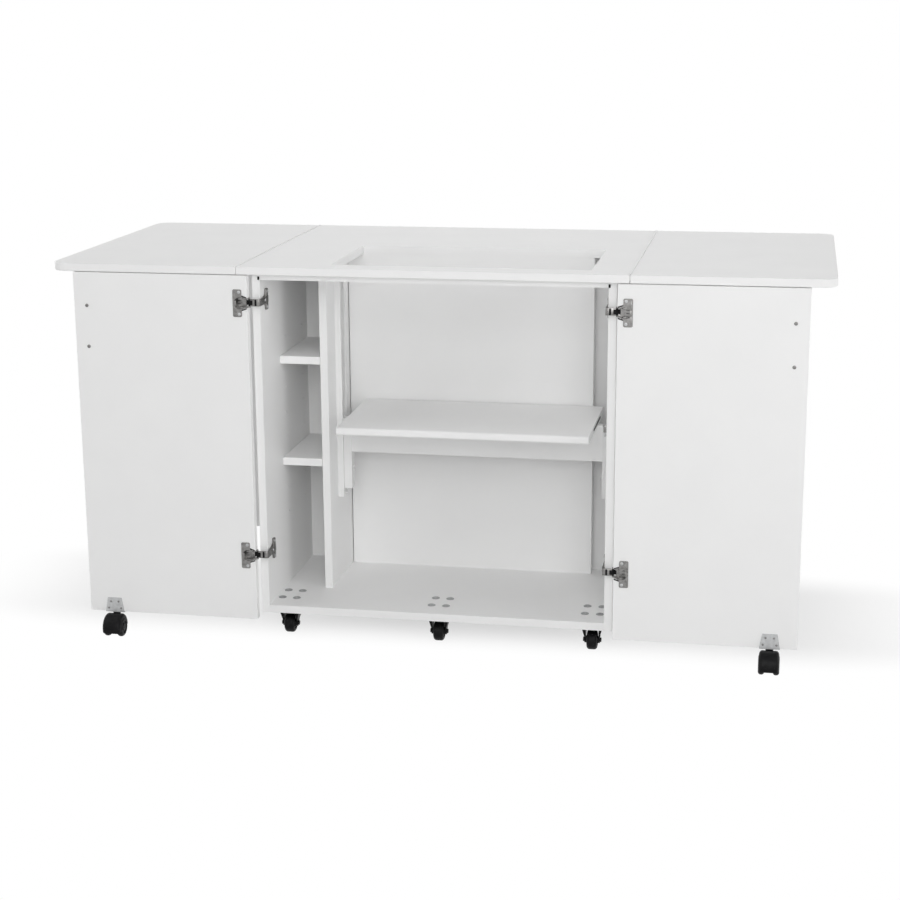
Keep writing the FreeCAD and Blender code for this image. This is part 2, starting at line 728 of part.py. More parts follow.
def door_caster(label, sign, end):
    """Bracket under a door's outer end, and its hooded caster with a pair of wheels."""
    x = f"{sign} * {DOOR_CASTER_X}"
    y = f"{end} * {DOOR_MIDDLE}"
    under = "(door_bottom - bracket_thick)"
    plate = doc.addObject("PartDesign::Body", f"{label}_bracket_plate")
    pad(plate, outline(sketch(plate, "XZ_Plane"), (
        ("-bracket_wide / 2", under), ("bracket_wide / 2", under),
        ("bracket_narrow / 2", "bracket_top"), ("-bracket_narrow / 2", "bracket_top"))), "bracket_thick")
    place(plate, x, span(end, DOOR_FACE, f"{DOOR_FACE} + bracket_thick")[1], "0 * board")
    flange = block(around(x, "bracket_wide"), span(end, DOOR_BACK, f"{DOOR_FACE} + bracket_thick"),
                   (under, "door_bottom"))
    stem = rod("z", (x, y, ""), "stem_pin", ("stem_seat + slide_clearance", "door_bottom"))
    node(f"{label}_caster_bracket", fuse(plate, flange, stem))

    axle_y = f"({end} * ({DOOR_MIDDLE} + twin_trail))"
    axle = (x, axle_y, "twin_radius")
    wide = around(x, "hood_width")
    dome = eased(rod("x", axle, "hood_radius", wide), "hood_round", lambda edge: not runs_along("X")(edge))
    below = "twin_radius - hood_radius"
    inner_y = span(end, f"{DOOR_MIDDLE} + twin_trail - hood_radius", f"{DOOR_MIDDLE} + twin_trail")
    shell = cut(dome, rod("x", axle, "hood_radius - hood_wall", wide),
                block(wide, around(axle_y, "2 * hood_radius"), (below, "hood_foot")),
                block(wide, inner_y, (below, "twin_radius")))
    thin = around(x, "twin_web")
    web_z = ("twin_radius", "twin_radius + hood_radius - hood_wall")
    web = block(thin, around(axle_y, "2 * web_reach"), web_z)
    hub = rod("x", axle, "web_reach", thin)
    boss_z = ("stem_seat", f"{under} - stem_gap")
    boss = rod("z", (x, y, ""), "stem_boss", boss_z)
    bore = rod("z", (x, y, ""), "stem_pin + run_clearance", boss_z)
    shaft = rod("x", axle, "twin_axle", around(x, "twin_web + 2 * twin_gap + 2 * twin_width"))
    node(f"{label}_caster_hood", fuse(cut(fuse(shell, web, hub, boss), bore), shaft))
    offset = "(twin_web / 2 + twin_gap + twin_width / 2)"
    pair = [wheel(f"{x} + {turn} * {offset}", axle_y, "twin_radius", "twin_width", "twin_radius",
                  "(twin_width / 2)", "twin_axle + run_clearance", "twin_tread_round") for turn in (-1, 1)]
    node(f"{label}_caster_wheels", group(*pair))


def caster_places():
    """Names and middles of the casters under the carcass."""
    for end, end_sign in ENDS:
        for spot, step in (("left", -1), ("middle", 0), ("right", 1)):
            yield f"{end}_{spot}", f"{step} * caster_spacing", f"{end_sign} * caster_inset", end_sign


def bolts_around(x, y):
    """Middles of the four bolts of one carcass caster."""
    return [(f"{x} + {across} * bolt_across / 2", f"{y} + {along} * bolt_along / 2")
            for across in (-1, 1) for along in (-1, 1)]


def bolt_places():
    """Middles of the bolts that hold the carcass casters."""
    return [spot for label, x, y, end in caster_places() for spot in bolts_around(x, y)]


PLATE_UNDER = "(caster_height - plate_thick)"
CROWN_TOP = f"({PLATE_UNDER} - race_height - swivel_gap)"
CROWN_UNDER = f"({CROWN_TOP} - crown_height)"
FORK_IN = "(wheel_width / 2 + hub_proud + fork_gap)"
FORK_OUT = f"({FORK_IN} + fork_wall)"


def caster_fixings():
    """Top plates of the carcass casters with their kingpins, and the bolts through the bottom panel."""
    plates = []
    for label, x, y, end in caster_places():
        middle = (x, y, "")
        plate = block(around(x, "plate_width"), around(y, "plate_length"), (PLATE_UNDER, "caster_height"))
        race = rod("z", middle, "race_radius", (f"{PLATE_UNDER} - race_height", PLATE_UNDER))
        pin_foot = f"{CROWN_UNDER} - swivel_gap - kingpin_head_height"
        pin = rod("z", middle, "kingpin", (pin_foot, PLATE_UNDER))
        head = rod("z", middle, "kingpin_head", (pin_foot, f"{CROWN_UNDER} - swivel_gap"))
        holes = [rod("z", (bolt_x, bolt_y, ""), "bolt_radius", (PLATE_UNDER, "caster_height"))
                 for bolt_x, bolt_y in bolts_around(x, y)]
        plates.append(fuse(cut(plate, *holes), race, pin, head))
    node("caster_plates", group(*plates))
    bolts = []
    for x, y in bolt_places():
        middle = (x, y, "")
        nut_foot = f"{PLATE_UNDER} - nut_height"
        bolts.append(fuse(rod("z", middle, "bolt_radius", (nut_foot, FLOOR_Z)),
                          rod("z", middle, "nut_radius", (nut_foot, PLATE_UNDER)),
                          rod("z", middle, "bolt_head", (FLOOR_Z, f"{FLOOR_Z} + bolt_head_height"))))
    node("caster_bolts", group(*bolts))


def caster(label, x, y, end):
    """Swivelling fork under the carcass with its axle, and its wheel."""
    body = doc.addObject("PartDesign::Body", f"{label}_fork")
    axle_y = f"({end} * wheel_trail)"
    legs = outline(sketch(body, "YZ_Plane", "-crown_half"), (
        (f"{-end} * leg_back", CROWN_TOP), (f"{end} * leg_front", CROWN_TOP),
        (f"{end} * (wheel_trail + fork_boss)", "wheel_radius"),
        (f"{end} * (wheel_trail - fork_boss)", "wheel_radius"), (f"{-end} * leg_back", CROWN_UNDER)))
    pad(body, legs, "2 * crown_half")
    for side, sign in SIDES:
        flank = outline(sketch(body, "XZ_Plane", "2 * leg_front"), (
            (f"{sign} * {FORK_OUT}", "0 * board"), (f"{sign} * {FORK_OUT}", "wheel_radius + fork_boss"),
            (f"{sign} * crown_half", CROWN_UNDER), (f"{sign} * 2 * crown_half", CROWN_UNDER),
            (f"{sign} * 2 * crown_half", "0 * board")))
        pocket(body, flank, "4 * leg_front")
    pad(body, circle(sketch(body, "YZ_Plane", f"-{FORK_OUT}"), axle_y, "wheel_radius", "fork_boss"),
        f"2 * {FORK_OUT}")
    for reach in ("0 * board", f"{end} * crown_reach"):
        crown = circle(sketch(body, "XY_Plane", CROWN_UNDER), "0 * board", reach, "crown_half")
        pad(body, crown, "crown_height")
    room = rectangle(sketch(body, "YZ_Plane", FORK_IN), around(axle_y, "4 * wheel_radius"),
                     ("0 * board", CROWN_UNDER))
    pocket(body, room, f"2 * {FORK_IN}")
    pocket(body, circle(sketch(body, "YZ_Plane", FORK_OUT), axle_y, "wheel_radius", "axle_radius"),
           f"2 * {FORK_OUT}")
    bore = circle(sketch(body, "XY_Plane", CROWN_TOP), "0 * board", "0 * board", "kingpin + run_clearance")
    pocket(body, bore, "crown_height")
    place(body, x, y, "0 * board")
    wheel_y = f"{y} + {axle_y}"
    axle_middle = ("", wheel_y, "wheel_radius")
    axle = [rod("x", axle_middle, "axle_radius", around(x, f"2 * {FORK_OUT}"))]
    for side, sign in SIDES:
        low, high = span(sign, FORK_OUT, f"{FORK_OUT} + axle_proud")
        axle.append(rod("x", axle_middle, "axle_head", (f"{x} + ({low})", f"{x} + ({high})")))
    node(f"{label}_caster_fork", group(body, fuse(*axle)))
    hub_half = "(wheel_width / 2 + hub_proud)"
    turning = wheel(x, wheel_y, "wheel_radius", "wheel_width", "wheel_radius", hub_half,
                    "axle_radius + run_clearance", "tread_round")
    node(f"{label}_caster_wheel", turning)


def check(items):
    """Stop if any feature failed or a sub-part has no sound shape."""
    failed = [item.Label for item in doc.Objects if {"Invalid", "Error"} & set(item.State)]
    unsound = [item.Label for item in items if item.Shape.isNull() or not item.Shape.isValid()]
    if failed or unsound:
        raise RuntimeError(f"failed features {failed}, unsound sub-parts {unsound}")


center_top()
fold_hinges()
carcass()
shelves()
lift()
caster_fixings()
node("hinge_arms", group(*[hinge_arm(sign, end_sign, level) for side, sign in SIDES for end, end_sign in ENDS
                           for level in HINGE_LEVELS]))
for side, sign in SIDES:
    leaf(side, sign)
    for end, end_sign in ENDS:
        door(f"{end}_{side}", sign, end_sign)
        door_caster(f"{end}_{side}_door", sign, end_sign)
for label, x, y, end_sign in caster_places():
    caster(label, x, y, end_sign)

doc.recompute()
check(nodes)
os.makedirs("parts", exist_ok=True)
for item in nodes:
    item.Shape.exportStep(f"parts/{item.Label}.step")
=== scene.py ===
import json
import math
from types import SimpleNamespace

import bmesh
import bpy
from mathutils import Matrix, Vector
from mathutils.geometry import interpolate_bezier


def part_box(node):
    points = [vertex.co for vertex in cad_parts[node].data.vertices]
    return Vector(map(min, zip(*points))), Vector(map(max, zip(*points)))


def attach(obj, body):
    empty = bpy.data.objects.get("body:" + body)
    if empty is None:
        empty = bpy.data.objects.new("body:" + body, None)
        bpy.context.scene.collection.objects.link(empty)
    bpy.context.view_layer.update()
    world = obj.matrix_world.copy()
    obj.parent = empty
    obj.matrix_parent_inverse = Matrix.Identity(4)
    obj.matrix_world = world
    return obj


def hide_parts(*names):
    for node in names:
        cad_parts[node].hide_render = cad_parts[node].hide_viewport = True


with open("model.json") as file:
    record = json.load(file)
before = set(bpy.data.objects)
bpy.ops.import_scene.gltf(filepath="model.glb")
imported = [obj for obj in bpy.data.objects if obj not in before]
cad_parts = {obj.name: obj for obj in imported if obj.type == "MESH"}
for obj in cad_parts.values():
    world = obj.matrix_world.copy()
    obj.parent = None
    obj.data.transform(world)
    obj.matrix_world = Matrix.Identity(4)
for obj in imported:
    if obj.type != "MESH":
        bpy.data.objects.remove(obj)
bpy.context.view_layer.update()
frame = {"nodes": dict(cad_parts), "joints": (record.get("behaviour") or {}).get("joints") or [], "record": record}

MM = 0.001
SIDES = (("left", -1), ("right", 1))
ENDS = (("front", -1), ("rear", 1))
SPOTS = ("left", "middle", "right")
BOTH = (-1, 1)

# Camera: the photograph's own standpoint, in metres, degrees and millimetres of lens
CAMERA_TARGET = Vector((-0.0233, 0.0, 0.33574))
CAMERA_PLACE = Vector((0.68335, -3.73086, 1.28518))
CAMERA_ROLL = -0.377
CAMERA_LENS = 73.65
CAMERA_SENSOR = 36.0


def make_camera():
    """Camera at the photograph's viewing angle."""
    back = (CAMERA_PLACE - CAMERA_TARGET).normalized()
    right = Vector((0, 0, 1)).cross(back).normalized()
    up = back.cross(right)
    level = Matrix((right, up, back)).transposed()
    roll = Matrix.Rotation(math.radians(CAMERA_ROLL), 3, "Z")
    data = bpy.data.cameras.new("camera")
    data.lens = CAMERA_LENS
    data.sensor_width = CAMERA_SENSOR
    camera = bpy.data.objects.new("camera", data)
    camera.matrix_world = Matrix.Translation(CAMERA_PLACE) @ (level @ roll).to_4x4()
    bpy.context.scene.collection.objects.link(camera)
    bpy.context.scene.camera = camera


# Floor and light: places and sizes in metres, lamps in watts
FLOOR_SIZE = 60.0
FLOOR_COLOR = (0.80, 0.80, 0.80, 1)
# Painted shade: the floor is less white near the cabinet's footprint and turns white within FADE_REACH of it, on
# top of the real shadow.
FLOOR_WHITE_NEAR = 0.6
FOOTPRINT_HALF = (0.67, 0.14, 0.0)
FADE_STRETCH = (1.0, 2.5, 0.0)
FADE_REACH = 0.45
WHITE = (1, 1, 1, 1)
WHITE_STRENGTH = 1.0
WORLD_LIGHT = 0.155
LAMPS = (
    ("front_softbox", (0.6, -4.0, 2.8), 3.0, 44),
    ("key_softbox", (0.7, -3.9, 1.5), 2.2, 34),
    ("right_softbox", (4.2, -1.9, 1.5), 2.4, 44),
    ("left_softbox", (-4.2, -1.9, 1.5), 2.4, 24),
    ("top_softbox", (-2.5, -0.5, 3.5), 3.0, 22),
    ("back_softbox", (0.0, 2.8, 3.5), 3.0, 44),
    ("rear_right_softbox", (4.0, 2.4, 1.5), 2.4, 45),
    ("rear_left_softbox", (-4.0, 2.4, 1.5), 2.4, 45),
)
LAMP_AIM = Vector((0, 0, 0.4))


def seen_ray(nodes, links):
    """Socket that is 1 on camera, glossy and transmission rays."""
    path = nodes.new("ShaderNodeLightPath")
    total = path.outputs["Is Camera Ray"]
    for name in ("Is Glossy Ray", "Is Transmission Ray"):
        larger = nodes.new("ShaderNodeMath")
        larger.operation = "MAXIMUM"
        links.new(total, larger.inputs[0])
        links.new(path.outputs[name], larger.inputs[1])
        total = larger.outputs[0]
    return total


def make_world():
    """Soft even light, and a white background where it is seen."""
    world = bpy.data.worlds.new("studio")
    world.use_nodes = True
    nodes, links = world.node_tree.nodes, world.node_tree.links
    background = nodes["Background"]
    background.inputs["Color"].default_value = WHITE
    level = nodes.new("ShaderNodeMapRange")
    level.inputs["To Min"].default_value = WORLD_LIGHT
    level.inputs["To Max"].default_value = WHITE_STRENGTH
    links.new(seen_ray(nodes, links), level.inputs["Value"])
    links.new(level.outputs[0], background.inputs["Strength"])
    bpy.context.scene.world = world


def distance_outside(nodes, links, half, stretch):
    """Socket with a point's stretched distance from a rectangle about the middle of the floor."""
    away = nodes.new("ShaderNodeTexCoord").outputs["Object"]
    steps = (("ABSOLUTE", None), ("SUBTRACT", half), ("MAXIMUM", (0, 0, 0)), ("MULTIPLY", stretch))
    for operation, amount in steps:
        step = nodes.new("ShaderNodeVectorMath")
        step.operation = operation
        links.new(away, step.inputs[0])
        if amount:
            step.inputs[1].default_value = amount
        away = step.outputs[0]
    length = nodes.new("ShaderNodeVectorMath")
    length.operation = "LENGTH"
    links.new(away, length.inputs[0])
    return length.outputs["Value"]


def floor_material():
    """Pale surface that keeps the real shadow and, where it is seen, turns white away from the cabinet; near the
    cabinet less white is mixed in, a painted shade around its footprint.
    """
    material = bpy.data.materials.new("studio_floor")
    material.use_nodes = True
    nodes, links = material.node_tree.nodes, material.node_tree.links
    nodes.clear()
    diffuse = nodes.new("ShaderNodeBsdfDiffuse")
    diffuse.inputs["Color"].default_value = FLOOR_COLOR
    white = nodes.new("ShaderNodeEmission")
    white.inputs["Strength"].default_value = WHITE_STRENGTH
    # painted shade: the white share drops near the cabinet, so the floor there stays greyer even where it is lit
    fade = nodes.new("ShaderNodeMapRange")
    fade.interpolation_type = "SMOOTHSTEP"
    fade.inputs["From Max"].default_value = FADE_REACH
    fade.inputs["To Min"].default_value = FLOOR_WHITE_NEAR
    links.new(distance_outside(nodes, links, FOOTPRINT_HALF, FADE_STRETCH), fade.inputs["Value"])
    share = nodes.new("ShaderNodeMath")
    share.operation = "MULTIPLY"
    links.new(fade.outputs[0], share.inputs[0])
    links.new(seen_ray(nodes, links), share.inputs[1])
    mix = nodes.new("ShaderNodeMixShader")
    links.new(share.outputs[0], mix.inputs[0])
    links.new(diffuse.outputs[0], mix.inputs[1])
    links.new(white.outputs[0], mix.inputs[2])
    output = nodes.new("ShaderNodeOutputMaterial")
    links.new(mix.outputs[0], output.inputs["Surface"])
    return material


def make_floor():
    """Wide plain floor under the cabinet."""
    mesh = bpy.data.meshes.new("studio_floor")
    half = FLOOR_SIZE / 2
    corners = [(-half, -half, 0), (half, -half, 0), (half, half, 0), (-half, half, 0)]
    mesh.from_pydata(corners, [], [(0, 1, 2, 3)])
    mesh.materials.append(floor_material())
    floor = bpy.data.objects.new("studio_floor", mesh)
    bpy.context.scene.collection.objects.link(floor)


def make_lamps():
    """Large soft boxes around and above the cabinet."""
    for name, place, size, power in LAMPS:
        data = bpy.data.lights.new(name, "AREA")
        data.shape = "SQUARE"
        data.size = size
        data.energy = power
        lamp = bpy.data.objects.new(name, data)
        lamp.location = place
        aim = LAMP_AIM - Vector(place)
        lamp.rotation_euler = aim.to_track_quat("-Z", "Y").to_euler()
        bpy.context.scene.collection.objects.link(lamp)


# Materials. A grain is the noise of the tone, the roughness and the relief, each as cells per metre and
# detail, and then the strength of the relief.
BOARD_GRAIN = ((9.0, 4.0), (60.0, 3.0), (1400.0, 1.0), 0.06)
METAL_GRAIN = ((160.0, 3.0), (240.0, 3.0), (2600.0, 2.0), 0.12)
BLACK_GRAIN = ((120.0, 3.0), (200.0, 3.0), (3000.0, 1.0), 0.15)
RELIEF_DEPTH = 0.2 * MM
NOISE_LOW = 0.3
NOISE_HIGH = 0.7
EVEN = (1, 1, 1)
BRUSHED_UPRIGHT = (1, 1, 0.04)
BLACK_TONES = ((0.004, 0.004, 0.0045), (0.009, 0.009, 0.0095))
BLACK_SPECULAR = 0.1


def noise_of(tree, cells, detail, stretch):
    """Noise in the piece's own space, in cells per metre."""
    place = tree.nodes.new("ShaderNodeTexCoord")
    sized = tree.nodes.new("ShaderNodeMapping")
    sized.inputs["Scale"].default_value = stretch
    tree.links.new(place.outputs["Object"], sized.inputs["Vector"])
    noise = tree.nodes.new("ShaderNodeTexNoise")
    noise.inputs["Scale"].default_value = cells
    noise.inputs["Detail"].default_value = detail
    tree.links.new(sized.outputs[0], noise.inputs["Vector"])
    return noise.outputs["Fac"]


def vary_color(tree, shader, factor, low, high):
    """Base colour between two tones."""
    ramp = tree.nodes.new("ShaderNodeValToRGB")
    first, last = ramp.color_ramp.elements
    first.position = NOISE_LOW
    last.position = NOISE_HIGH
    first.color = (*low, 1)
    last.color = (*high, 1)
    tree.links.new(factor, ramp.inputs["Fac"])
    tree.links.new(ramp.outputs["Color"], shader.inputs["Base Color"])


def vary_roughness(tree, shader, factor, low, high):
    """Roughness between two values."""
    level = tree.nodes.new("ShaderNodeMapRange")
    level.inputs["From Min"].default_value = NOISE_LOW
    level.inputs["From Max"].default_value = NOISE_HIGH
    level.inputs["To Min"].default_value = low
    level.inputs["To Max"].default_value = high
    tree.links.new(factor, level.inputs["Value"])
    tree.links.new(level.outputs[0], shader.inputs["Roughness"])


def add_bump(tree, shader, factor, strength):
    """Fine relief on the surface."""
    bump = tree.nodes.new("ShaderNodeBump")
    bump.inputs["Strength"].default_value = strength
    bump.inputs["Distance"].default_value = RELIEF_DEPTH
    tree.links.new(factor, bump.inputs["Height"])
    tree.links.new(bump.outputs[0], shader.inputs["Normal"])


def grained(name, tones, rough, grain, stretch=EVEN):
    """Material whose tone, roughness and relief vary with noise; returns it with its shader."""
    material = bpy.data.materials.new(name)
    material.use_nodes = True
    tree = material.node_tree
    shader = tree.nodes["Principled BSDF"]
    tone, gloss, relief, strength = grain
    vary_color(tree, shader, noise_of(tree, *tone, stretch), *tones)
    vary_roughness(tree, shader, noise_of(tree, *gloss, stretch), *rough)
    add_bump(tree, shader, noise_of(tree, *relief, stretch), strength)
    return material, shader


def board_and_paint():
    """White melamine board and white painted metal."""
    board = ((0.902, 0.902, 0.900), (0.920, 0.920, 0.917))
    paint = ((0.85, 0.85, 0.848), (0.87, 0.87, 0.867))
    return {
        "white_board": grained("white_board", board, (0.48, 0.60), BOARD_GRAIN)[0],
        "white_metal": grained("white_metal", paint, (0.40, 0.52), BOARD_GRAIN)[0],
    }


def bare_metals():
    """Nickel of the hinges, brushed nickel of the handles and zinc of the brackets and bolts."""
    made = {}
    for name, low, high, rough, stretch in (
        ("nickel_steel", (0.17, 0.167, 0.163), (0.28, 0.275, 0.27), (0.26, 0.40), EVEN),
        ("satin_nickel", (0.50, 0.49, 0.47), (0.60, 0.59, 0.57), (0.30, 0.42), BRUSHED_UPRIGHT),
        ("zinc_steel", (0.38, 0.384, 0.388), (0.50, 0.505, 0.51), (0.36, 0.52), EVEN),
    ):
        made[name], shader = grained(name, (low, high), rough, METAL_GRAIN, stretch)
        shader.inputs["Metallic"].default_value = 1.0
    return made


def blacks():
    """Black metal of the casters and black plastic, both nearly matt."""
    made = {}
    for name, rough in (("black_metal", (0.28, 0.42)), ("black_plastic", (0.36, 0.50))):
        made[name], shader = grained(name, BLACK_TONES, rough, BLACK_GRAIN)
        shader.inputs["Specular IOR Level"].default_value = BLACK_SPECULAR
    return made


def dress_nodes():
    """Give every CAD node the material of its slot."""
    for part in frame["record"]["subparts"]:
        mesh = frame["nodes"][part["node"]].data
        mesh.materials.clear()
        mesh.materials.append(materials[part["material_slot"]])


# Mesh tools. Pieces are built in metres at the right corner with Y outward, and mirrored to the others.
ROUND_STEPS = 28
ARC_STEPS = 6
SHARP_ANGLE = math.radians(32)
FINE_EASE = 0.2 * MM
EASE = 0.3 * MM
ROUND_END = 0.45
OUTWARD = (0, 1, 0)
INWARD = (0, -1, 0)
SCREW_FLAT = 0.62
SCREW_DOME_STEPS = 5
RECESS_REACH = 0.46
RECESS_HALF = 0.12
RECESS_TAPER = 0.7
RECESS_FLOOR = 0.25


def joint_place(name):
    """Where a joint of the frame sits, in metres."""
    return Vector(next(joint["pos_m"] for joint in frame["joints"] if joint["name"] == name))


def mirrored(sign, end):
    """Placement from the right corner, with Y outward, to any corner."""
    return Matrix.Diagonal((sign, end, 1, 1))


def outward(corners, axis):
    """Smallest and largest distance of a box from the middle plane across an axis."""
    return sorted(abs(corner[axis]) for corner in corners)


def middle_x(corners):
    """Distance of a box's middle from the plane between left and right."""
    return sum(outward(corners, 0)) / 2


def facing(origin, normal, upright=(0, 0, 1)):
    """Placement at a point with local Z along the normal and local Y near the upright direction."""
    z = Vector(normal).normalized()
    x = Vector(upright).cross(z).normalized()
    return Matrix.Translation(origin) @ Matrix((x, z.cross(x), z)).transposed().to_4x4()


def angles(start, stop, steps):
    """Evenly spaced angles between two angles in degrees, in radians."""
    return [math.radians(start + (stop - start) * step / steps) for step in range(steps + 1)]


def arc(middle, radius, start, stop):
    """Points of an arc, with its angles in degrees."""
    return [(middle[0] + radius * math.cos(a), middle[1] + radius * math.sin(a))
            for a in angles(start, stop, ARC_STEPS)]


def rounded(width, height, radius):
    """Outline of a rectangle about the origin with round corners."""
    x, y = width / 2 - radius, height / 2 - radius
    return (arc((x, -y), radius, -90, 0) + arc((x, y), radius, 0, 90)
            + arc((-x, y), radius, 90, 180) + arc((-x, -y), radius, 180, 270))


def bent(points, steps):
    """Points of a curve through its two ends, pulled by the two points between them."""
    return [tuple(point) for point in interpolate_bezier(*(Vector(point) for point in points), steps)]


def turned(bm, profile, place, steps=ROUND_STEPS, closed=False):
    """Turned shape about the local Z axis from (radius, height) pairs; returns its last ring."""
    rings = []
    for radius, height in profile:
        count = steps if radius > 0 else 1
        around = [2 * math.pi * step / count for step in range(count)]
        rings.append([bm.verts.new(place @ Vector((radius * math.cos(a), radius * math.sin(a), height)))
                      for a in around])
    pairs = list(zip(rings, rings[1:]))
    if closed:
        pairs.append((rings[-1], rings[0]))
    for low, high in pairs:
        for step in range(steps):
            after = step + 1
            corners = [low[step % len(low)], low[after % len(low)],
                       high[after % len(high)], high[step % len(high)]]
            bm.faces.new(list(dict.fromkeys(corners)))
    return rings[-1]


def pressed(bm, outline, thickness, place, ease=0.0):
    """Plate over a flat outline, from the local XY plane up, with eased edges."""
    part = bmesh.new()
    base = part.faces.new([part.verts.new((x, y, 0)) for x, y in outline])
    raised = bmesh.ops.extrude_face_region(part, geom=[base])["geom"]
    corners = [item for item in raised if isinstance(item, bmesh.types.BMVert)]
    bmesh.ops.translate(part, verts=corners, vec=(0, 0, thickness))
    if ease:
        edges = [edge for edge in part.edges if edge.calc_face_angle(0) > SHARP_ANGLE]
        bmesh.ops.bevel(part, geom=edges, offset=ease, segments=2, profile=0.5, affect="EDGES")
    mesh = bpy.data.meshes.new("pressed")
    part.to_mesh(mesh)
    part.free()
    mesh.transform(place)
    bm.from_mesh(mesh)
    bpy.data.meshes.remove(mesh)


def swept(bm, section, start, stop, place, steps):
    """Section of (X, radius) pairs swept about the local X axis between two angles, with closed ends."""
    rings = []
    for step in range(steps + 1):
        angle = start + (stop - start) * step / steps
        rings.append([bm.verts.new(place @ Vector((x, r * math.cos(angle), r * math.sin(angle))))
                      for x, r in section])
    count = len(section)
    for near, far in zip(rings, rings[1:]):
        for k in range(count):
            after = (k + 1) % count
            bm.faces.new((near[k], near[after], far[after], far[k]))
    bm.faces.new(rings[0][::-1])
    bm.faces.new(rings[-1])


def cross_screw(bm, place, radius, height):
    """Round screw head with a cross recess, standing on the local XY plane."""
    dome = [(radius * (SCREW_FLAT + (1 - SCREW_FLAT) * math.cos(a)), height * math.sin(a))
            for a in angles(0, 90, SCREW_DOME_STEPS)]
    rim = turned(bm, [(0, 0)] + dome, place)
    reach, half = RECESS_REACH * radius, RECESS_HALF * radius
    quarter = [(reach, -half), (reach, half), (half, half)]
    quarter_turns = ((1, 0), (0, 1), (-1, 0), (0, -1))
    cross = [(x * c - y * s, x * s + y * c) for c, s in quarter_turns for x, y in quarter]
    floor = RECESS_FLOOR * height
    top = [bm.verts.new(place @ Vector((x, y, height))) for x, y in cross]
    low = [bm.verts.new(place @ Vector((RECESS_TAPER * x, RECESS_TAPER * y, floor))) for x, y in cross]
    count = len(cross)
    edges = [bm.edges.new((top[k], top[(k + 1) % count])) for k in range(count)]
    for k in range(count):
        after = (k + 1) % count
        bm.faces.new((top[k], top[after], low[after], low[k]))
    bm.faces.new(low)
    edges += [bm.edges.get((rim[k], rim[(k + 1) % len(rim)])) for k in range(len(rim))]
    bmesh.ops.triangle_fill(bm, use_beauty=True, edges=edges)


def make_piece(name, bm, body, slot, replaced=()):
    """Finish a piece: mesh, shading, the material of its slot, and body."""
    bmesh.ops.recalc_face_normals(bm, faces=bm.faces)
    mesh = bpy.data.meshes.new(name)
    bm.to_mesh(mesh)
    bm.free()
    mesh.materials.append(materials[slot])
    mesh.polygons.foreach_set("use_smooth", [True] * len(mesh.polygons))
    mesh.set_sharp_from_angle(angle=SHARP_ANGLE)
    item = bpy.data.objects.new(name, mesh)
    bpy.context.scene.collection.objects.link(item)
    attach(item, body)
    if replaced:
        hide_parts(*replaced)


# Hinge cups on the doors: plates and pads as (width, height, corner radius), screws as (radius, height)
WING_HEIGHT = 54 * MM
WING_THICK = 1.2 * MM
WING_REACH = 14 * MM
WING_NEAR = 4 * MM
CUP_FLOOR = 0.6 * MM
CUP_DEPTH = 12.6 * MM
RAISED = 0.9 * MM
CHEEK_THICK = 2 * MM
CHEEK_OUT = 9.8 * MM
CHEEK_NOSE = 1.9 * MM
CHEEK_KNEE = (6 * MM, 4 * MM)
CHEEK_TAIL = 3 * MM
RIB = (2.4 * MM, 16 * MM, 1.1 * MM)
RIB_INSET = 3.4 * MM
RIB_RISE = 15 * MM
RIB_PROUD = 0.54 * MM
BRIDGE = (5 * MM, 10 * MM, 1.5 * MM)
BRIDGE_INSET = 4.2 * MM
BRIDGE_PROUD = 0.63 * MM
SPRING_WIDTH = 2.2 * MM
SPRING_RISES = (10.6 * MM, 14.4 * MM)
SPRING_INSET = 1 * MM
SMALL_SCREW = (3.2 * MM, 1.1 * MM)
SCREW_INSET = 5.3 * MM
PAD_THICK = 0.1 * MM
PAD_HEIGHT = 9.4 * MM
PAD_CORNER = 1 * MM
PAD_SHORT = 6 * MM
PAD_GAP = 0.1 * MM
# The cup's slots are thin black sheets, painted shade of openings that are not cut.
SLOT = (6 * MM, 1.1 * MM, 0.5 * MM)
SLOT_SHIFT = 3.5 * MM
SLOT_RISES = (-9.5 * MM, -3.2 * MM, 3.2 * MM, 9.5 * MM)


def hinge_levels(label):
    """Heights of a door's two hinges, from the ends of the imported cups."""
    low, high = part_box(f"{label}_hinge_cups")
    return low.z + WING_HEIGHT / 2, high.z - WING_HEIGHT / 2


def cup_measures(label):
    """Distances of a door's hinge cups from the middle planes, across as X and outward as Y."""
    pivot = joint_place(f"{label}_door_swing")
    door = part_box(f"{label}_door")
    inner_face = outward(door, 1)[1]
    cup_x = outward(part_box(f"{label}_hinge_cups"), 0)[1] - WING_REACH
    return SimpleNamespace(
        pivot=(abs(pivot.x), abs(pivot.y)),
        door_edge=outward(door, 0)[0],
        inner_face=inner_face,
        wing_face=inner_face + WING_THICK,
        floor=inner_face - CUP_DEPTH + CUP_FLOOR,
        middle=cup_x,
        wing_near=cup_x - WING_NEAR,
        wing_far=cup_x + WING_REACH,
    )


def hinge_cheek(bm, cup, level, up, to_corner):
    """Plate beside the arm's slot, from the pivot to the cup's wing."""
    x, y = cup.pivot
    crest = cup.wing_face + RAISED
    tail = cup.middle + CHEEK_TAIL
    knee_x, knee_y = CHEEK_KNEE
    outline = arc(cup.pivot, CHEEK_NOSE, 270, 90) + [
        (x + knee_x, y + knee_y), (cup.wing_near, crest), (tail, crest),
        (tail, cup.wing_face), (cup.wing_near, cup.wing_face), (cup.wing_near, y - CHEEK_NOSE)]
    base = level + up * CHEEK_OUT - (CHEEK_THICK if up > 0 else 0)
    pressed(bm, outline, CHEEK_THICK, to_corner @ Matrix.Translation((0, 0, base)), FINE_EASE)


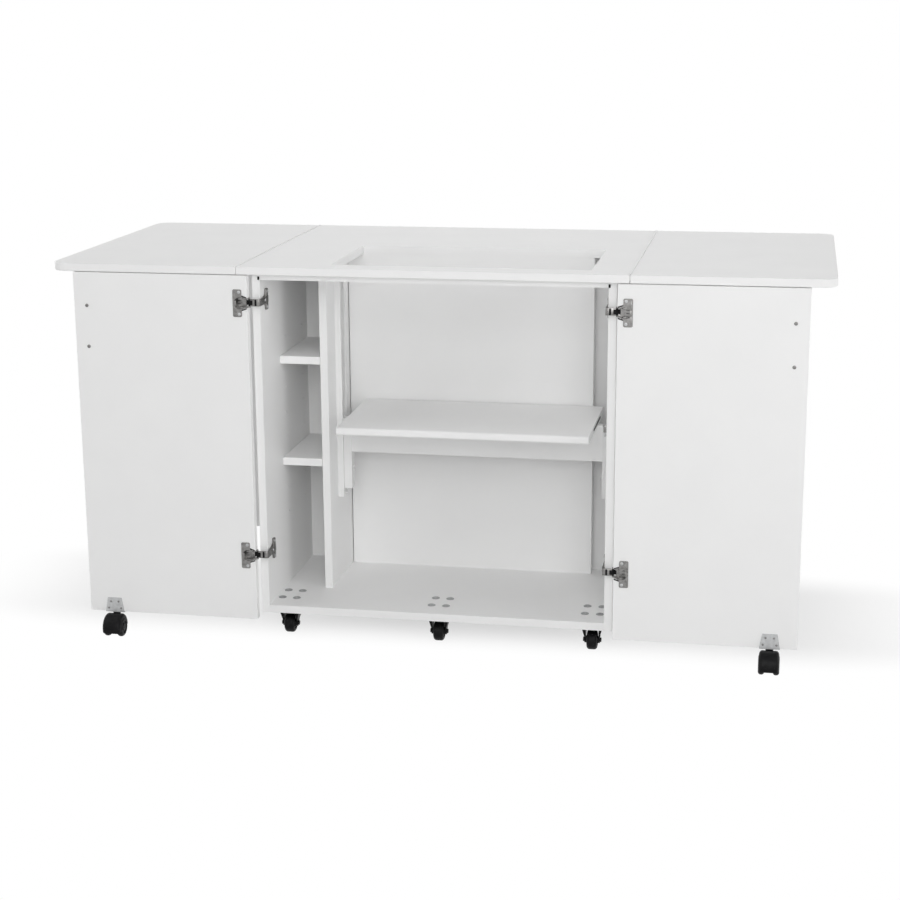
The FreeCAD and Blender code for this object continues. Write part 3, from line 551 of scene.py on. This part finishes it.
def spring_bar(bm, cup, level, up, to_corner):
    """Slanted flat bar on the door beside the arm's slot."""
    near_rise, far_rise = SPRING_RISES
    start = Vector((cup.door_edge + SPRING_INSET, level + up * near_rise))
    stop = Vector((cup.wing_near + SPRING_INSET, level + up * far_rise))
    run = stop - start
    middle = (start + stop) / 2
    place = facing(Vector((middle.x, cup.inner_face, middle.y)), OUTWARD, (run.x, 0, run.y))
    bar = rounded(SPRING_WIDTH, run.length, ROUND_END * SPRING_WIDTH)
    pressed(bm, bar, RAISED, to_corner @ place, EASE)


def cup_pad_and_slot_shade(bm, cup, level, to_corner):
    """Dark pad behind the arm, and thin black sheets on the floor of the cup as painted shade of its slots."""
    # painted shade: each slot is a black sheet on the cup floor, not an opening
    for rise in SLOT_RISES:
        spot = Vector((cup.middle + SLOT_SHIFT, cup.floor, level + rise))
        pressed(bm, rounded(*SLOT), PAD_THICK, to_corner @ facing(spot, OUTWARD))
    length = cup.wing_near - PAD_SHORT - cup.door_edge
    spot = Vector((cup.door_edge + length / 2 + PAD_GAP, cup.floor, level))
    pressed(bm, rounded(length, PAD_HEIGHT, PAD_CORNER), PAD_THICK, to_corner @ facing(spot, OUTWARD))


def door_hinges(label, sign, end):
    """Cheeks, stiffening ribs, spring bars, pads and screws of a door's two hinge cups."""
    to_corner = mirrored(sign, end)
    cup = cup_measures(label)
    cheeks, springs_and_shade, screws = bmesh.new(), bmesh.new(), bmesh.new()
    screw_rise = WING_HEIGHT / 2 - SCREW_INSET
    for level in hinge_levels(label):
        for up in BOTH:
            hinge_cheek(cheeks, cup, level, up, to_corner)
            spot = Vector((cup.wing_far - RIB_INSET, cup.wing_face, level + up * RIB_RISE))
            pressed(cheeks, rounded(*RIB), RIB_PROUD, to_corner @ facing(spot, OUTWARD), FINE_EASE)
            spring_bar(springs_and_shade, cup, level, up, to_corner)
            spot = Vector((cup.wing_near + SCREW_INSET, cup.wing_face, level + up * screw_rise))
            cross_screw(screws, to_corner @ facing(spot, OUTWARD), *SMALL_SCREW)
        spot = Vector((cup.wing_far - BRIDGE_INSET, cup.wing_face, level))
        pressed(cheeks, rounded(*BRIDGE), BRIDGE_PROUD, to_corner @ facing(spot, OUTWARD), EASE)
        cup_pad_and_slot_shade(springs_and_shade, cup, level, to_corner)
    body = f"{label}_door_unit"
    make_piece(f"{label}_hinge_cheeks", cheeks, body, "nickel_steel")
    # this black mesh holds the spring bars, the pad and the painted shade of the slots
    make_piece(f"{label}_hinge_springs_and_shade", springs_and_shade, body, "black_plastic")
    make_piece(f"{label}_hinge_screws", screws, body, "zinc_steel")


# Handles and caster brackets of the doors: screws as (radius, height), their places as (across, drop)
ROD = 4.5 * MM
HANDLE_SCREW = (3.6 * MM, 1.6 * MM)
FERRULE_RADIUS = 6.2 * MM
FERRULE_HEIGHT = 2.4 * MM
FERRULE_SHAPE = ((1.0, 0.0), (1.0, 0.5), (0.9, 0.85))
BRACKET_SCREW = (2.2 * MM, 0.8 * MM)
BRACKET_SCREWS = ((-8 * MM, 8 * MM), (8 * MM, 8 * MM), (-13 * MM, 22 * MM), (13 * MM, 22 * MM))


def handle_spots(label, face):
    """Points of a door's face where its handle is fixed."""
    low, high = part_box(f"{label}_handle")
    x = middle_x((low, high))
    return [Vector((x, face, z)) for z in (low.z + ROD, high.z - ROD)]


def door_screws(label, sign, end):
    """Heads of the handle's and the caster bracket's screws on a door's inner face."""
    to_corner = mirrored(sign, end)
    inner_face = outward(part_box(f"{label}_door"), 1)[1]
    handle_screws, bracket_screws = bmesh.new(), bmesh.new()
    for spot in handle_spots(label, inner_face):
        cross_screw(handle_screws, to_corner @ facing(spot, OUTWARD), *HANDLE_SCREW)
    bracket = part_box(f"{label}_door_caster_bracket")
    bracket_face = outward(bracket, 1)[1]
    for across, drop in BRACKET_SCREWS:
        spot = Vector((middle_x(bracket) + across, bracket_face, bracket[1].z - drop))
        cross_screw(bracket_screws, to_corner @ facing(spot, OUTWARD), *BRACKET_SCREW)
    make_piece(f"{label}_door_screws", handle_screws, f"{label}_door_unit", "nickel_steel")
    make_piece(f"{label}_bracket_screws", bracket_screws, f"{label}_door_unit", "nickel_steel")


def handle_ferrules(label, sign, end):
    """Turned collars where a handle meets its door."""
    to_corner = mirrored(sign, end)
    outer_face = outward(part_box(f"{label}_door"), 1)[0]
    shape = [(r * FERRULE_RADIUS, z * FERRULE_HEIGHT) for r, z in FERRULE_SHAPE]
    collar = [(ROD, 0)] + shape + [(ROD, FERRULE_HEIGHT)]
    ferrules = bmesh.new()
    for spot in handle_spots(label, outer_face):
        turned(ferrules, collar, to_corner @ facing(spot, INWARD), closed=True)
    make_piece(f"{label}_handle_ferrules", ferrules, f"{label}_door_unit", "satin_nickel")


# Hinge arms on the side panels
PIN_BORE = 1.05 * MM
NECK = 4 * MM
NECK_TURN = 14 * MM
NECK_STRAIGHT = 15 * MM
NECK_STEPS = 12
NECK_PAD = 6 * MM
ARM_HEIGHT = 14 * MM
ARM_STAND = 1.5 * MM
ARM_EASE = 0.5 * MM
LEG = 3 * MM
MOUNT_LENGTH = 13 * MM
MOUNT_HEIGHT = 42 * MM
MOUNT_THICK = 4 * MM
MOUNT_CORNER = 3 * MM
MOUNT_SETBACK = 37 * MM
MOUNT_SCREW_RISE = 15.5 * MM
FLARE_LENGTH = 24 * MM
FLARE_HALF = 18 * MM
FLARE_THICK = 1.4 * MM
FLARE_LAP = 1 * MM
FLARE_PULLS = (0.15, 0.4)
FLARE_STEPS = 10
COLLAR = 4 * MM
COLLAR_SHORT = 1 * MM
TO_PANEL_MIDDLE = (-1, 0, 0)


def flare_outline():
    """Plate that narrows from the mounting bar to the arm; X runs forward along the panel, Y up."""
    half = ARM_HEIGHT / 2
    near, far = FLARE_PULLS
    upper = bent([(0, FLARE_HALF), (near * FLARE_LENGTH, half), (far * FLARE_LENGTH, half),
                  (FLARE_LENGTH, half)], FLARE_STEPS)
    return [(x, -y) for x, y in upper] + upper[::-1]


def goose_neck(pivot, leg_x, back):
    """Outline from above of an arm that runs along the panel and turns out to the pivot."""
    turn_y = pivot.y - NECK_TURN
    straight = pivot.x - NECK_STRAIGHT
    tip = pivot.x - NECK / 2
    sides = []
    for x, y in ((leg_x + LEG, pivot.y - NECK / 2), (leg_x, pivot.y + NECK / 2)):
        curve = bent([(x, turn_y), (x, y), (x, y), (straight, y)], NECK_STEPS)
        sides.append([(x, back)] + curve + [(tip, y)])
    inside, outside = sides
    return inside + outside[::-1]


def hinge_arm(bms, to_corner, pivot, panel_in, mount_y, level):
    """One arm with its mounting bar, screws, pivot knuckle and black pads."""
    arms, screws, pads = bms
    leg_x = panel_in - ARM_STAND - LEG
    front = pivot.y + NECK / 2
    bar = facing(Vector((panel_in, mount_y, level)), TO_PANEL_MIDDLE)
    pressed(arms, rounded(MOUNT_LENGTH, MOUNT_HEIGHT, MOUNT_CORNER), MOUNT_THICK, to_corner @ bar, ARM_EASE)
    forward = Vector((panel_in, mount_y + MOUNT_LENGTH / 2 - FLARE_LAP, level))
    along_panel = Matrix(((0, 0, -1), (1, 0, 0), (0, 1, 0))).to_4x4()
    flare = Matrix.Translation(forward) @ along_panel
    pressed(arms, flare_outline(), FLARE_THICK, to_corner @ flare, EASE)
    base = Matrix.Translation((0, 0, level - ARM_HEIGHT / 2))
    neck = goose_neck(pivot, leg_x, mount_y - MOUNT_LENGTH / 2)
    pressed(arms, neck, ARM_HEIGHT, to_corner @ base, ARM_EASE)
    knuckle = [(PIN_BORE, 0), (NECK / 2, 0), (NECK / 2, ARM_HEIGHT), (PIN_BORE, ARM_HEIGHT)]
    turned(pads, knuckle, to_corner @ base @ Matrix.Translation((*pivot, 0)), closed=True)
    spot = Vector((pivot.x - NECK_PAD / 2 - NECK / 4, front, level))
    pressed(pads, rounded(NECK_PAD, PAD_HEIGHT, PAD_CORNER), PAD_THICK, to_corner @ facing(spot, OUTWARD))
    spot = Vector((pivot.x - NECK_STRAIGHT + COLLAR / 2, front, level))
    collar = rounded(COLLAR, ARM_HEIGHT - COLLAR_SHORT, COLLAR / 2)
    pressed(pads, collar, PAD_THICK, to_corner @ facing(spot, OUTWARD))
    for up in BOTH:
        spot = Vector((panel_in - MOUNT_THICK, mount_y, level + up * MOUNT_SCREW_RISE))
        cross_screw(screws, to_corner @ facing(spot, TO_PANEL_MIDDLE), *SMALL_SCREW)
    spot = Vector((leg_x, mount_y + MOUNT_LENGTH, level))
    cross_screw(screws, to_corner @ facing(spot, TO_PANEL_MIDDLE), *SMALL_SCREW)


def hinge_arms():
    """The arms of all eight door hinges."""
    arms, screws, pads = bms = bmesh.new(), bmesh.new(), bmesh.new()
    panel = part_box("right_side_panel")
    panel_in = outward(panel, 0)[0]
    mount_y = outward(panel, 1)[1] - MOUNT_SETBACK
    for side, sign in SIDES:
        for end_name, end in ENDS:
            label = f"{end_name}_{side}"
            place = joint_place(f"{label}_door_swing")
            pivot = Vector((abs(place.x), abs(place.y)))
            for level in hinge_levels(label):
                hinge_arm(bms, mirrored(sign, end), pivot, panel_in, mount_y, level)
    make_piece("hinge_arm_castings", arms, "cabinet", "nickel_steel", ("hinge_arms",))
    make_piece("hinge_arm_screws", screws, "cabinet", "zinc_steel")
    make_piece("hinge_arm_pads", pads, "cabinet", "black_plastic")


# Hooded door casters: the lining as (along the axle, radius), the shaft's end as shares of its size
WHEEL_RADIUS = 20 * MM
HOOD_RADIUS = 27 * MM
HOOD_HALF = 19.5 * MM
HOOD_SHOULDER = (6.5 * MM, 8.5 * MM)
HOOD_LINING = ((19.2 * MM, 18.3 * MM), (17.4 * MM, 20 * MM), (14.9 * MM, 20.7 * MM))
HOOD_FOOT = 12.5 * MM
HOOD_STEPS = 40
HOOD_EASE = 0.4 * MM
WEB_HALF = 7.4 * MM
WEB_RADIUS = 9 * MM
WEB_CORNER = 1 * MM
SHAFT_RADIUS = 3 * MM
SHAFT_HALF = 20.4 * MM
SHAFT_END = ((1.0, 0.9), (0.8, 1.0), (0.0, 1.0))
SOCKET_BORE = 3.6 * MM
SOCKET_RADIUS = 7.5 * MM
SOCKET_LOW = 40 * MM
SOCKET_HIGH = 49 * MM
SOCKET_EASE = 1 * MM


def hood_section():
    """Round-shouldered section of the hood, as (along the axle, radius) pairs."""
    along, rise = HOOD_SHOULDER
    middle = HOOD_HALF - along
    low = HOOD_RADIUS - rise
    shoulder = [(middle + along * math.cos(a), low + rise * math.sin(a)) for a in angles(0, 90, ARC_STEPS)]
    outside = shoulder + [(-x, r) for x, r in shoulder[::-1]]
    return outside + [(-x, r) for x, r in HOOD_LINING] + list(HOOD_LINING[::-1])


def door_caster(label, sign, end):
    """Round-shouldered hood of a twin-wheel caster, with its web, stem socket and axle."""
    to_corner = mirrored(sign, end)
    axle = joint_place(f"{label}_door_caster_roll")
    stem = joint_place(f"{label}_door_caster_swivel")
    middle = Matrix.Translation((abs(axle.x), abs(axle.y), axle.z))
    hood = bmesh.new()
    start = math.asin((HOOD_FOOT - WHEEL_RADIUS) / HOOD_RADIUS)
    swept(hood, hood_section(), start, math.pi, to_corner @ middle, HOOD_STEPS)
    across = middle @ Matrix.Rotation(math.pi / 2, 4, "Y")
    web = [(0, -WEB_HALF), (WEB_RADIUS, -WEB_HALF), (WEB_RADIUS, WEB_HALF), (0, WEB_HALF)]
    turned(hood, web, to_corner @ across)
    tip = [(r * SHAFT_RADIUS, x * SHAFT_HALF) for r, x in SHAFT_END]
    turned(hood, [(r, -x) for r, x in tip[::-1]] + tip, to_corner @ across)
    rise = HOOD_LINING[-1][1]
    upright = middle @ Matrix.Translation((-WEB_HALF, 0, rise / 2)) @ facing(Vector((0, 0, 0)), (1, 0, 0))
    pressed(hood, rounded(2 * WEB_RADIUS, rise, WEB_CORNER), 2 * WEB_HALF, to_corner @ upright, HOOD_EASE)
    socket = [(SOCKET_BORE, SOCKET_LOW), (SOCKET_RADIUS, SOCKET_LOW),
              (SOCKET_RADIUS, SOCKET_HIGH - SOCKET_EASE),
              (SOCKET_RADIUS - SOCKET_EASE, SOCKET_HIGH), (SOCKET_BORE, SOCKET_HIGH)]
    turned(hood, socket, to_corner @ Matrix.Translation((abs(stem.x), abs(stem.y), 0)), closed=True)
    replaced = (f"{label}_door_caster_hood",)
    make_piece(f"{label}_caster_cover", hood, f"{label}_door_swivel", "black_plastic", replaced)


# Bolts of the carcass casters: the head's dome and its socket as shares of its radius and height
BOLT_ACROSS = 30 * MM
BOLT_ALONG = 46 * MM
BOLT_RADIUS = 3 * MM
HEAD_RADIUS = 8 * MM
HEAD_HEIGHT = 2.2 * MM
HEAD_DOME = ((1.0, 0.0), (1.0, 0.35), (0.8, 0.8), (0.45, 1.0))
HEAD_SOCKET = ((0.3, 1.0), (0.26, 0.4), (0.0, 0.4))
NUT_RADIUS = 5 * MM
NUT_HEIGHT = 1.8 * MM
NUT_SIDES = 6


def caster_bolts():
    """Domed bolt heads on the cabinet floor, with shanks and hexagon nuts under the caster plates."""
    bolts = bmesh.new()
    nut_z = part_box("caster_bolts")[0].z
    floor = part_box("bottom_panel")[1].z
    shank = nut_z - floor
    head = [(r * HEAD_RADIUS, z * HEAD_HEIGHT) for r, z in HEAD_DOME + HEAD_SOCKET]
    bolt = [(0, shank), (BOLT_RADIUS, shank), (BOLT_RADIUS, 0)] + head
    nut = [(BOLT_RADIUS, 0), (NUT_RADIUS, 0), (NUT_RADIUS, NUT_HEIGHT), (BOLT_RADIUS, NUT_HEIGHT)]
    for end_name, _ in ENDS:
        for spot in SPOTS:
            middle = joint_place(f"{end_name}_{spot}_caster_swivel")
            for across in BOTH:
                for along in BOTH:
                    x = middle.x + across * BOLT_ACROSS / 2
                    y = middle.y + along * BOLT_ALONG / 2
                    turned(bolts, bolt, Matrix.Translation((x, y, floor)))
                    turned(bolts, nut, Matrix.Translation((x, y, nut_z)), NUT_SIDES, closed=True)
    make_piece("caster_bolt_set", bolts, "cabinet", "zinc_steel", ("caster_bolts",))


# Bumpers on the side panels
BUMPER_WIDTH = 4 * MM
BUMPER_HEIGHT = 7 * MM
BUMPER_PROUD = 2 * MM
BUMPER_CORNER = 1.8 * MM
BUMPER_EASE = 0.6 * MM
BUMPER_DROP = 5 * MM


def door_bumpers():
    """Black rubber bumpers at the top inner corners of the side panels' upright edges."""
    bumpers = bmesh.new()
    low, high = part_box("right_side_panel")
    spot = Vector((low.x + BUMPER_WIDTH / 2, high.y, high.z - BUMPER_DROP - BUMPER_HEIGHT / 2))
    outline = rounded(BUMPER_WIDTH, BUMPER_HEIGHT, BUMPER_CORNER)
    for sign in BOTH:
        for end in BOTH:
            place = mirrored(sign, end) @ facing(spot, OUTWARD)
            pressed(bumpers, outline, BUMPER_PROUD, place, BUMPER_EASE)
    make_piece("door_bumpers", bumpers, "cabinet", "black_plastic")


# Caps and latch of the lift
CAP_RADIUS = 4.2 * MM
CAP_HEIGHT = 3.6 * MM
CAP_RISE = 43 * MM
CAP_STEEP = 75
CAP_STEPS = 5
CATCH_LENGTH = 120 * MM
CATCH_WIDTH = 4 * MM
CATCH_PROUD = 1 * MM
CATCH_SETBACK = 90 * MM
TIP_LENGTH = 9 * MM
TIP_PROUD = 0.4 * MM
TIP_TOP = 2 * MM
TIP_CORNER = 2 * MM
TIP_EASE = 0.4 * MM


def post_caps():
    """Domed caps over the bolts in the lift posts' inner faces."""
    caps = bmesh.new()
    dome = [(CAP_RADIUS * math.cos(a), CAP_HEIGHT * math.sin(a)) for a in angles(0, CAP_STEEP, CAP_STEPS)]
    low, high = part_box("lift_apron")
    depth = (low.y + high.y) / 2
    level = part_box("lift_posts")[0].z + CAP_RISE
    for x, normal in ((low.x, 1), (high.x, -1)):
        place = facing(Vector((x, depth, level)), (normal, 0, 0))
        turned(caps, [(0, 0)] + dome + [(0, CAP_HEIGHT)], place)
    make_piece("post_caps", caps, "lift", "white_metal")


def latch_catch():
    """Dark catch strip on the platform's right end."""
    catch = bmesh.new()
    low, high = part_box("lift_platform")
    spot = Vector((high.x, low.y + CATCH_SETBACK + CATCH_LENGTH / 2, (low.z + high.z) / 2))
    strip = rounded(CATCH_LENGTH, CATCH_WIDTH, ROUND_END * CATCH_WIDTH)
    pressed(catch, strip, CATCH_PROUD, facing(spot, (1, 0, 0)), EASE)
    make_piece("latch_catch_strip", catch, "lift", "black_metal")


def latch_tip():
    """Steel tip over the upper end of the latch lever."""
    tip = bmesh.new()
    low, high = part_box("latch_lever")
    spot = Vector(((low.x + high.x) / 2, high.y, high.z - TIP_LENGTH / 2 + TIP_TOP / 2))
    side = rounded(high.x - low.x + 2 * TIP_PROUD, TIP_LENGTH + TIP_TOP, TIP_CORNER)
    pressed(tip, side, high.y - low.y + TIP_PROUD, facing(spot, INWARD), TIP_EASE)
    make_piece("latch_lever_tip", tip, "latch", "nickel_steel")


make_camera()
make_world()
make_floor()
make_lamps()
materials = {**board_and_paint(), **bare_metals(), **blacks()}
dress_nodes()
for side, sign in SIDES:
    for end_name, end in ENDS:
        label = f"{end_name}_{side}"
        door_hinges(label, sign, end)
        door_screws(label, sign, end)
        handle_ferrules(label, sign, end)
        door_caster(label, sign, end)
hinge_arms()
caster_bolts()
door_bumpers()
post_caps()
latch_catch()
latch_tip()

bpy.context.scene.view_settings.view_transform = "Standard"
